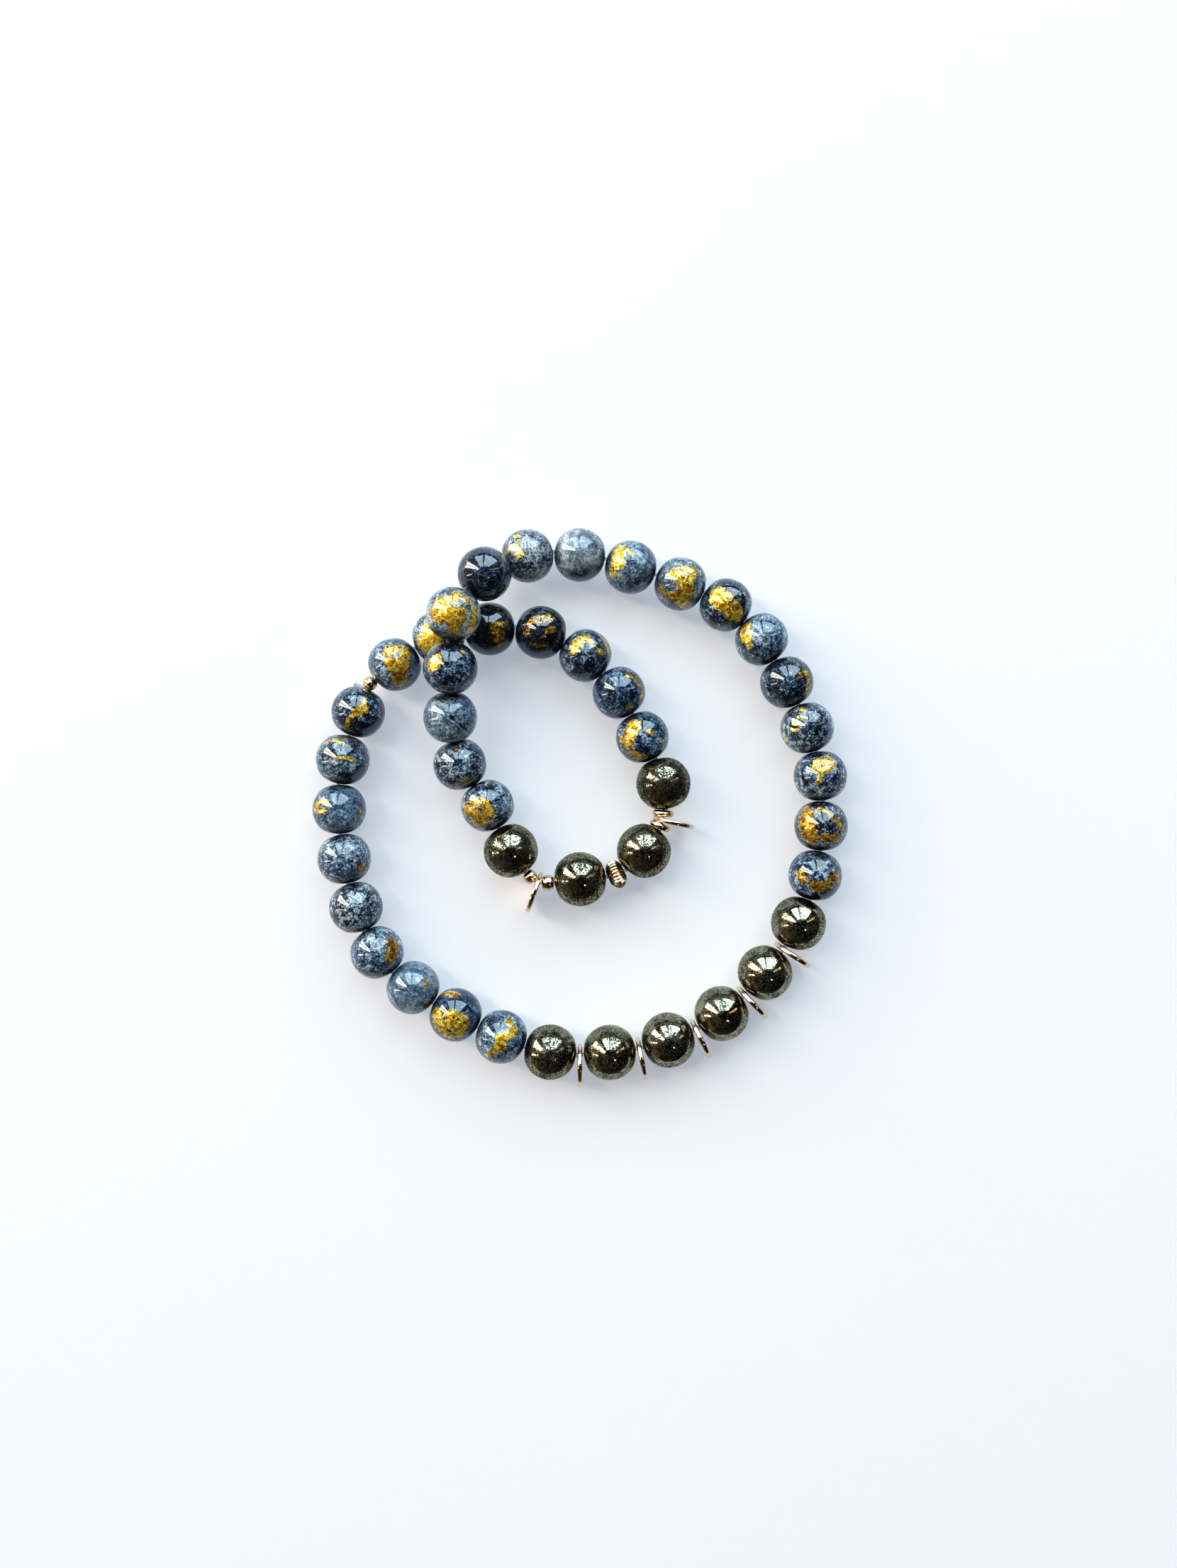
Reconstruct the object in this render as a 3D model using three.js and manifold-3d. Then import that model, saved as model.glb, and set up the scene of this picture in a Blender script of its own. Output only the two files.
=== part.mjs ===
// A double-wrap stretch bracelet: round stone beads, polished pyrite beads and small gold-coloured
// pieces on one closed elastic, lying flat as an outer and an inner loop that cross once.
// Millimetres, +Z up. The origin is on the resting plane, under the middle of the whole bracelet.

import * as THREE from 'three';
import Module from 'manifold-3d';
import { mergeVertices } from 'three/addons/utils/BufferGeometryUtils.js';

const wasm = await Module();
wasm.setup();

// Driving dimensions. A bead's length is measured along its bore, between its two faces.
const BORE_DIAMETER = 1.1;
const STONE = { diameter: 8.2, length: 7.6, faceDiameter: BORE_DIAMETER };
const PYRITE = { diameter: 8.4, length: 7.85, faceDiameter: BORE_DIAMETER };
const ROUND_BEAD = { diameter: 2.15, length: 1.75, faceDiameter: 1.3 };
const BARREL_BEAD = { diameter: 2.35, length: 1.75, faceDiameter: 1.8 };
const RING_SPACER = { diameter: 3.3, length: 0.95, faceDiameter: 2.7 };
const SAUCER = { diameter: 4.6, length: 2.7, faceDiameter: 2.0, ribs: 24, ribDepth: 0.2 };
const COIN = { diameter: 6.5, thickness: 0.7, holeToCentre: 2.06, drop: 0.8 };
const ELASTIC = { diameter: 0.6, shortGap: 0.5 };
const TAIL = { length: 2.1, rootDiameter: 0.2, endDiameter: 0.65 };

// Height of the string above the resting plane, where small pieces hang on it between big beads.
const STRING_HEIGHT = 4.05;

// How finely each shape is faceted: sides round the bore, and steps along the outline.
const BEAD_FACETS = { sides: 12, steps: 8 };
const SMALL_BEAD_FACETS = { sides: 8, steps: 4 };
const SPACER_FACETS = { sides: 10, steps: 4 };
const COIN_SIDES = 16;
const COIN_HOLE_SIDES = 6;
const ELASTIC_SIDES = 5;

const UP = new THREE.Vector3(0, 0, 1);

// Route of the string round the closed loop, in stringing order. A station is [x, y, lift]: x and y
// lie on the resting plane, and the lift is how far a bead there is raised above one that lies on
// that plane.
const ROUTE = [
  [-14.3, 35.6, 4.0],
  [-8.0, 39.0, 0.4],
  [0.1, 39.2, 0.0],
  [8.2, 37.2, 0.0],
  [22.6, 31.4, 0.0],
  [28.2, 26.0, 0.0],
  [35.2, 12.3, 0.0],
  [37.2, 5.0, 0.0],
  [37.3, -2.8, 0.0],
  [36.4, -10.4, 0.0],
  [33.8, -17.8, 0.0],
  [28.6, -25.5, 0.0],
  [21.9, -31.8, 0.0],
  [13.7, -35.9, 0.0],
  [4.8, -37.8, 0.0],
  [-4.6, -37.8, 0.0],
  [-19.3, -32.0, 0.0],
  [-31.4, -22.4, 0.0],
  [-36.5, -8.0, 0.0],
  [-37.0, 6.0, 0.0],
  [-34.5, 14.4, 0.0],
  [-32.6, 19.2, 0.0],
  [-28.8, 22.2, 0.0],
  [-22.2, 26.4, 0.0],
  [-14.2, 27.8, 0.0],
  [-5.9, 27.2, 0.0],
  [0.9, 23.6, 0.0],
  [6.1, 17.8, 0.0],
  [9.7, 10.9, 0.0],
  [12.9, 3.8, 0.0],
  [12.4, -2.7, 0.0],
  [10.0, -6.5, 0.0],
  [5.7, -10.2, 0.0],
  [0.0, -11.0, 0.0],
  [-4.9, -11.6, 0.0],
  [-7.4, -10.9, 0.0],
  [-10.6, -6.8, 0.0],
  [-14.2, 0.2, 0.0],
  [-18.4, 6.4, 0.2],
  [-19.7, 13.6, 2.7],
  [-19.4, 20.8, 5.4],
  [-18.8, 28.7, 7.3],
];

// What is strung, in order: runs of one kind, and the gap that each piece of the run leaves after
// it beside the common gap, where the strand is slack or bends tightly.
const COINED_PYRITE = [
  { kind: 'pyrite_bead', count: 1, slack: 0.22 },
  { kind: 'coin_charm', count: 1, slack: 0.22 },
];
const STRINGING = [
  { kind: 'stone_bead', count: 4, slack: 0.4 },
  { kind: 'stone_bead', count: 8, slack: 0 },
  ...COINED_PYRITE,
  ...COINED_PYRITE,
  ...COINED_PYRITE,
  ...COINED_PYRITE,
  ...COINED_PYRITE,
  { kind: 'pyrite_bead', count: 1, slack: 0.1 },
  { kind: 'stone_bead', count: 3, slack: 0.1 },
  { kind: 'stone_bead', count: 6, slack: 0 },
  { kind: 'round_bead', count: 1, slack: 0 },
  { kind: 'stone_bead', count: 3, slack: 0.3 },
  { kind: 'stone_bead', count: 4, slack: 0.05 },
  { kind: 'pyrite_bead', count: 1, slack: 0.1 },
  { kind: 'ring_spacer', count: 1, slack: 0.05 },
  { kind: 'coin_charm', count: 1, slack: 0.05 },
  { kind: 'ring_spacer', count: 1, slack: 0.1 },
  { kind: 'pyrite_bead', count: 1, slack: 0.25 },
  { kind: 'saucer_bead', count: 1, slack: 0.25 },
  { kind: 'pyrite_bead', count: 1, slack: 0.1 },
  { kind: 'barrel_bead', count: 1, slack: 0.15 },
  { kind: 'coin_charm', count: 1, slack: 0.1 },
  { kind: 'round_bead', count: 1, slack: 0.1 },
  { kind: 'pyrite_bead', count: 1, slack: 0 },
  { kind: 'stone_bead', count: 3, slack: 0 },
  { kind: 'stone_bead', count: 1, slack: 0.4 },
  { kind: 'stone_bead', count: 1, slack: 0.9 },
];

// Materials.
function material(color, roughness, metalness) {
  return new THREE.MeshStandardMaterial({ color, roughness, metalness });
}

const STONE_LOOK = material(0x5b6572, 0.2, 0.0);
const PYRITE_LOOK = material(0x3a352c, 0.15, 0.6);
const GOLD_LOOK = material(0xd9a45c, 0.2, 1.0);
const CLEAR_LOOK = material(0xdde2e6, 0.2, 0.0);

// A bead is turned about +Y: its bore, its flat faces where they are wider than the bore, and a
// round outline between them with as many steps on one side of the equator as on the other.
function beadGeometry({ diameter, length, faceDiameter }, { sides, steps }) {
  const faceAngle = Math.acos(faceDiameter / diameter);
  const flattening = length / (diameter * Math.sin(faceAngle));
  const outline = [];
  for (let step = 0; step <= steps; step += 1) {
    const angle = faceAngle * (2 * step / steps - 1);
    outline.push(new THREE.Vector2(
      Math.cos(angle) * diameter / 2, Math.sin(angle) * flattening * diameter / 2));
  }
  if (faceDiameter > BORE_DIAMETER) {
    outline.unshift(new THREE.Vector2(BORE_DIAMETER / 2, -length / 2));
    outline.push(new THREE.Vector2(BORE_DIAMETER / 2, length / 2));
  }
  outline.push(outline[0].clone());
  return new THREE.LatheGeometry(outline, sides);
}

// The saucer bead is a flat round bead with every second side pressed in, which leaves ribs that
// run from face to face.
function saucerGeometry() {
  const boreRadius = BORE_DIAMETER / 2;
  const geometry = beadGeometry(SAUCER, { ...SMALL_BEAD_FACETS, sides: 2 * SAUCER.ribs });
  const place = geometry.attributes.position;
  for (let i = 0; i < place.count; i += 1) {
    const radius = Math.hypot(place.getX(i), place.getZ(i));
    const turn = Math.atan2(place.getX(i), place.getZ(i));
    const side = Math.round(turn * SAUCER.ribs / Math.PI);
    const pressed = side % 2 !== 0 && radius > boreRadius + SAUCER.ribDepth;
    const scale = pressed ? 1 - SAUCER.ribDepth / radius : 1;
    place.setXYZ(i, place.getX(i) * scale, place.getY(i), place.getZ(i) * scale);
  }
  return geometry;
}

function circle(radius, sides, centreX = 0) {
  const points = [];
  for (let side = 0; side < sides; side += 1) {
    const turn = 2 * Math.PI * side / sides;
    points.push(new THREE.Vector2(centreX + radius * Math.cos(turn), radius * Math.sin(turn)));
  }
  return points;
}

// A coin is a disc across the string, hung from a hole near its rim. Its own origin is in the
// hole, its centre lies along +X and the string runs along Z.
function coinGeometry() {
  const disc = new THREE.Shape(circle(COIN.diameter / 2, COIN_SIDES, COIN.holeToCentre));
  disc.holes.push(new THREE.Path(circle(BORE_DIAMETER / 2, COIN_HOLE_SIDES)));
  const geometry = new THREE.ExtrudeGeometry(disc, { depth: COIN.thickness, bevelEnabled: false });
  return geometry.translate(0, 0, -COIN.thickness / 2);
}

// A bead's own +Y follows the bore. One of its meridians points straight down, so that a bead
// whose bore is level rests on a vertex.
function beadFrame(bore) {
  const side = new THREE.Vector3().crossVectors(bore, UP).normalize();
  const up = new THREE.Vector3().crossVectors(side, bore);
  return new THREE.Matrix4().makeBasis(side, bore, up);
}

// A coin lies across the bore and falls outwards, away from the middle of its loop, until its rim
// rests.
function coinFrame(bore) {
  const reach = Math.sqrt(COIN.holeToCentre ** 2 - COIN.drop ** 2);
  const outwards = new THREE.Vector3().crossVectors(UP, bore).normalize();
  const toCentre = outwards.multiplyScalar(reach).addScaledVector(UP, -COIN.drop).normalize();
  const across = new THREE.Vector3().crossVectors(bore, toCentre);
  return new THREE.Matrix4().makeBasis(toCentre, across, bore);
}

// Every kind of piece: its shape, its look, how it turns with the string, how much of the string
// it takes up, and the height of its bore when it lies on the resting plane.
const KINDS = {
  stone_bead: {
    geometry: beadGeometry(STONE, BEAD_FACETS),
    look: STONE_LOOK,
    frame: beadFrame,
    length: STONE.length,
    height: STONE.diameter / 2,
  },
  pyrite_bead: {
    geometry: beadGeometry(PYRITE, BEAD_FACETS),
    look: PYRITE_LOOK,
    frame: beadFrame,
    length: PYRITE.length,
    height: PYRITE.diameter / 2,
  },
  coin_charm: {
    geometry: coinGeometry(),
    look: GOLD_LOOK,
    frame: coinFrame,
    length: COIN.thickness,
    height: STRING_HEIGHT,
  },
  saucer_bead: {
    geometry: saucerGeometry(),
    look: GOLD_LOOK,
    frame: beadFrame,
    length: SAUCER.length,
    height: STRING_HEIGHT,
  },
  ring_spacer: {
    geometry: beadGeometry(RING_SPACER, SPACER_FACETS),
    look: GOLD_LOOK,
    frame: beadFrame,
    length: RING_SPACER.length,
    height: STRING_HEIGHT,
  },
  barrel_bead: {
    geometry: beadGeometry(BARREL_BEAD, SMALL_BEAD_FACETS),
    look: GOLD_LOOK,
    frame: beadFrame,
    length: BARREL_BEAD.length,
    height: STRING_HEIGHT,
  },
  round_bead: {
    geometry: beadGeometry(ROUND_BEAD, SMALL_BEAD_FACETS),
    look: GOLD_LOOK,
    frame: beadFrame,
    length: ROUND_BEAD.length,
    height: STRING_HEIGHT,
  },
};

// Places every piece along the route. What their lengths and slack leave over is shared out
// evenly as the common gap, so that the strand closes on itself.
function stringPieces() {
  const stations = ROUTE.map(([x, y, lift]) => new THREE.Vector3(x, y, lift));
  const route = new THREE.CatmullRomCurve3(stations, true, 'centripetal');
  route.arcLengthDivisions = 4000;
  const routeLength = route.getLength();

  const pieces = STRINGING.flatMap(({ kind, count, slack }) => (
    Array.from({ length: count }, () => ({ kind, slack, ...KINDS[kind] }))));
  const taken = pieces.reduce((sum, piece) => sum + piece.length + piece.slack, 0);
  const commonGap = (routeLength - taken) / pieces.length;

  let along = 0;
  pieces.forEach((piece, i) => {
    const station = route.getPointAt(along / routeLength);
    piece.place = station.setZ(piece.height + Math.max(station.z, 0));
    const next = pieces[(i + 1) % pieces.length];
    along += piece.length / 2 + piece.slack + commonGap + next.length / 2;
  });

  pieces.forEach((piece, i) => {
    const before = pieces.at(i - 1).place;
    const after = pieces[(i + 1) % pieces.length].place;
    const arriving = piece.place.clone().sub(before).normalize();
    const leaving = after.clone().sub(piece.place).normalize();
    piece.bore = arriving.add(leaving).normalize();
  });
  return pieces;
}

// A closed polyline: the elastic runs straight through every bore and bends only in the gaps.
class ElasticLine extends THREE.Curve {
  constructor(knots) {
    super();
    this.knots = knots;
  }

  getPoint(t, target = new THREE.Vector3()) {
    const along = t * this.knots.length;
    const from = Math.floor(along);
    const start = this.knots[from % this.knots.length];
    const end = this.knots[(from + 1) % this.knots.length];
    return target.lerpVectors(start, end, along - from);
  }

  getPointAt(u, target) {
    return this.getPoint(u, target);
  }

  getTangentAt(u, target) {
    return this.getTangent(u, target);
  }
}

// Where the elastic bends in the gap after a piece: once halfway between the mouths of the two
// bores, or at both mouths where the gap is longer.
function gapKnots(piece, next) {
  const leaving = piece.place.clone().addScaledVector(piece.bore, piece.length / 2);
  const entering = next.place.clone().addScaledVector(next.bore, -next.length / 2);
  const isShort = leaving.distanceTo(entering) < ELASTIC.shortGap;
  return isShort ? [leaving.lerp(entering, 0.5)] : [leaving, entering];
}

// The free end of the knot, which widens as it leaves the string and points outwards.
function tailGeometry(root, bore) {
  const outwards = new THREE.Vector3().crossVectors(UP, bore).normalize();
  const turn = new THREE.Quaternion().setFromUnitVectors(new THREE.Vector3(0, 1, 0), outwards);
  return new THREE.CylinderGeometry(
    TAIL.endDiameter / 2, TAIL.rootDiameter / 2, TAIL.length, ELASTIC_SIDES)
    .translate(0, TAIL.length / 2, 0)
    .applyQuaternion(turn)
    .translate(root.x, root.y, root.z);
}

function solidOf(geometry) {
  geometry.deleteAttribute('normal');
  geometry.deleteAttribute('uv');
  const merged = mergeVertices(geometry, 1e-4);
  return new wasm.Manifold(new wasm.Mesh({
    numProp: 3,
    vertProperties: merged.attributes.position.array,
    triVerts: Uint32Array.from(merged.index.array),
  }));
}

function geometryOf(solid) {
  const { vertProperties, triVerts } = solid.getMesh();
  const geometry = new THREE.BufferGeometry();
  geometry.setAttribute('position', new THREE.BufferAttribute(vertProperties, 3));
  geometry.setIndex(new THREE.BufferAttribute(triVerts, 1));
  return geometry;
}

// The loop starts halfway through the first bead's bore. The knot is in the gap before the first
// round bead, where the tail is joined on.
function elasticGeometry(pieces) {
  const bends = pieces.map((piece, i) => gapKnots(piece, pieces[(i + 1) % pieces.length]));
  const start = bends.at(-1).at(-1).clone().lerp(bends[0][0], 0.5);
  const line = new ElasticLine([start, ...bends.flat()]);
  const loop = new THREE.TubeGeometry(
    line, line.knots.length, ELASTIC.diameter / 2, ELASTIC_SIDES, true);
  const knotted = pieces.findIndex((piece) => piece.kind === 'round_bead') - 1;
  const tail = tailGeometry(bends[knotted][0], pieces[knotted].bore);
  return geometryOf(solidOf(loop).add(solidOf(tail)));
}

function buildStrand() {
  const strand = new THREE.Group();
  const pieces = stringPieces();
  const counts = {};
  pieces.forEach((piece) => {
    counts[piece.kind] = (counts[piece.kind] ?? 0) + 1;
    const mesh = new THREE.Mesh(piece.geometry, piece.look);
    mesh.name = `${piece.kind}_${String(counts[piece.kind]).padStart(2, '0')}`;
    mesh.quaternion.setFromRotationMatrix(piece.frame(piece.bore));
    mesh.position.copy(piece.place);
    strand.add(mesh);
  });
  const elastic = new THREE.Mesh(elasticGeometry(pieces), CLEAR_LOOK);
  elastic.name = 'elastic_cord';
  strand.add(elastic);
  return strand;
}

// Centres the strand over the origin. It already stands on the resting plane.
function centred(strand) {
  strand.updateMatrixWorld(true);
  const middle = new THREE.Box3().setFromObject(strand, true).getCenter(new THREE.Vector3());
  strand.position.set(-middle.x, -middle.y, 0);
  return new THREE.Group().add(strand);
}

const group = centred(buildStrand());

export default group;
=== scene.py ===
"""The finished look of a double-wrap stretch bracelet: marbled blue-grey stone beads patched with
gold leaf, polished pyrite beads, small gold-plated pieces and a clear elastic, lying on a pale
table. Metres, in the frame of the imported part. Shapes are worked in millimetres and laid in place
last."""

import math
import random

import bmesh  # noqa: E402
import bpy  # noqa: E402
from mathutils import Matrix, Vector  # noqa: E402


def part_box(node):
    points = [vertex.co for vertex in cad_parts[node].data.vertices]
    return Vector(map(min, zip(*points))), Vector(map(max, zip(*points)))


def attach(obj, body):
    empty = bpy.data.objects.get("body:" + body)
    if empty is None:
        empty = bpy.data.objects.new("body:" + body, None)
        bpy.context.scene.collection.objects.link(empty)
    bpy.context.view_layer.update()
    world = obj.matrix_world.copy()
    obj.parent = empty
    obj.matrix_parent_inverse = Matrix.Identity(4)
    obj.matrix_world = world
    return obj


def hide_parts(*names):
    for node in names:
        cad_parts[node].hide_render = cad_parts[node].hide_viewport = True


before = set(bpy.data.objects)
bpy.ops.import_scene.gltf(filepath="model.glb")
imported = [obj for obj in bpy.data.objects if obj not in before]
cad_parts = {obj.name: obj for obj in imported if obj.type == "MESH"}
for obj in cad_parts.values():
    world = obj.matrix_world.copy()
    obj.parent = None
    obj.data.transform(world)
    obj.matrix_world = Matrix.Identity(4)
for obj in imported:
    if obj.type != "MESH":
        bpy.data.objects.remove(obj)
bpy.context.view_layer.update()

MM = 0.001
UP = Vector((0, 0, 1))

# Sizes in millimetres. A bead's length runs along its bore, between its two faces.
BORE = 1.1
SIZES = {
    "stone_bead": {"across": 8.2, "length": 7.6},
    "pyrite_bead": {"across": 8.4, "length": 7.85},
    "round_bead": {"across": 2.15, "length": 1.75, "face": 1.3},
    "barrel_bead": {"across": 2.35, "length": 1.75, "face": 1.8},
    "ring_spacer": {"across": 3.3, "length": 0.95, "face": 2.7},
    "saucer_bead": {"across": 4.6, "length": 2.7, "face": 2.0},
    "coin_charm": {"across": 6.5, "length": 0.7, "hole_to_centre": 2.06, "drop": 0.8},
}
SAUCER_RIBS = 24
SAUCER_RIB_DEPTH = 0.25
COIN = SIZES["coin_charm"]
COIN_REACH = math.sqrt(COIN["hole_to_centre"] ** 2 - COIN["drop"] ** 2)
ELASTIC_ACROSS = 0.6
TAIL = {"length": 2.1, "root": 0.24, "end": 0.62}

# The ends of a big bead are domed at a radius of END_DOME, blended into the ball over END_BLEND,
# and stand out into half of the gap beside them, by MOST_ROOM at most.
END_DOME = 7.5
END_BLEND = 0.5
MOST_ROOM = 0.3

# How far each kind of edge is rounded.
BIG_BEAD_EDGE = 0.12
SMALL_BEAD_EDGE = 0.1
COIN_EDGE = 0.22
TAIL_EDGE = 0.08

# How finely each shape is cut: steps along its outline, and sides round its bore.
BIG_BEAD_STEPS, BIG_BEAD_SIDES = 36, 64
SMALL_BEAD_STEPS, SMALL_BEAD_SIDES = 18, 48
SAUCER_STEPS, SAUCER_SIDES = 20, 8 * SAUCER_RIBS
COIN_SIDES, COIN_HOLE_SIDES = 96, 32

# Edges that turn by fewer degrees than this are shaded as smooth.
SMOOTH_BELOW = 50

# How often the string's way is worked out again from where its coins hang.
HANGING_ROUNDS = 5

# The camera stands straight over the bracelet. The leaf on each bead is charted as seen from there.
EYE = Vector((1.32, 3.74, 187.0)) * MM
CAMERA_ROLL = math.radians(-0.22)
LENS_MM = 27.1
SENSOR_MM = 36.0


def numbered(kind, first, last):
    return [f"{kind}_{number:02d}" for number in range(first, last + 1)]


# Every piece on the elastic, in stringing order.
STRUNG = [
    *numbered("stone_bead", 1, 12),
    "pyrite_bead_01",
    "coin_charm_01",
    "pyrite_bead_02",
    "coin_charm_02",
    "pyrite_bead_03",
    "coin_charm_03",
    "pyrite_bead_04",
    "coin_charm_04",
    "pyrite_bead_05",
    "coin_charm_05",
    "pyrite_bead_06",
    *numbered("stone_bead", 13, 21),
    "round_bead_01",
    *numbered("stone_bead", 22, 28),
    "pyrite_bead_07",
    "ring_spacer_01",
    "coin_charm_06",
    "ring_spacer_02",
    "pyrite_bead_08",
    "saucer_bead_01",
    "pyrite_bead_09",
    "barrel_bead_01",
    "coin_charm_07",
    "round_bead_02",
    "pyrite_bead_10",
    *numbered("stone_bead", 29, 33),
]


def bead(
    pale,
    mottled=0.5,
    grey=0.25,
    flecks=0.4,
    worn=0.5,
    ragged=1.0,
    leaf=(),
    torn=(),
    dark=(),
    shade=(),
):
    """How one stone bead looks: how pale, mottled, grey and flecked its stone is, how worn and
    ragged its leaf is, and where the leaf, the tears in it, dark inclusions and soft shade lie.
    Each stroke is (x, y, x, y, half width) in bead radii, on the side that faces the camera, with
    +y up."""
    return {
        "pale": pale,
        "mottled": mottled,
        "grey": grey,
        "flecks": flecks,
        "worn": worn,
        "ragged": ragged,
        "leaf": leaf,
        "torn": torn,
        "dark": dark,
        "shade": shade,
    }


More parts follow.
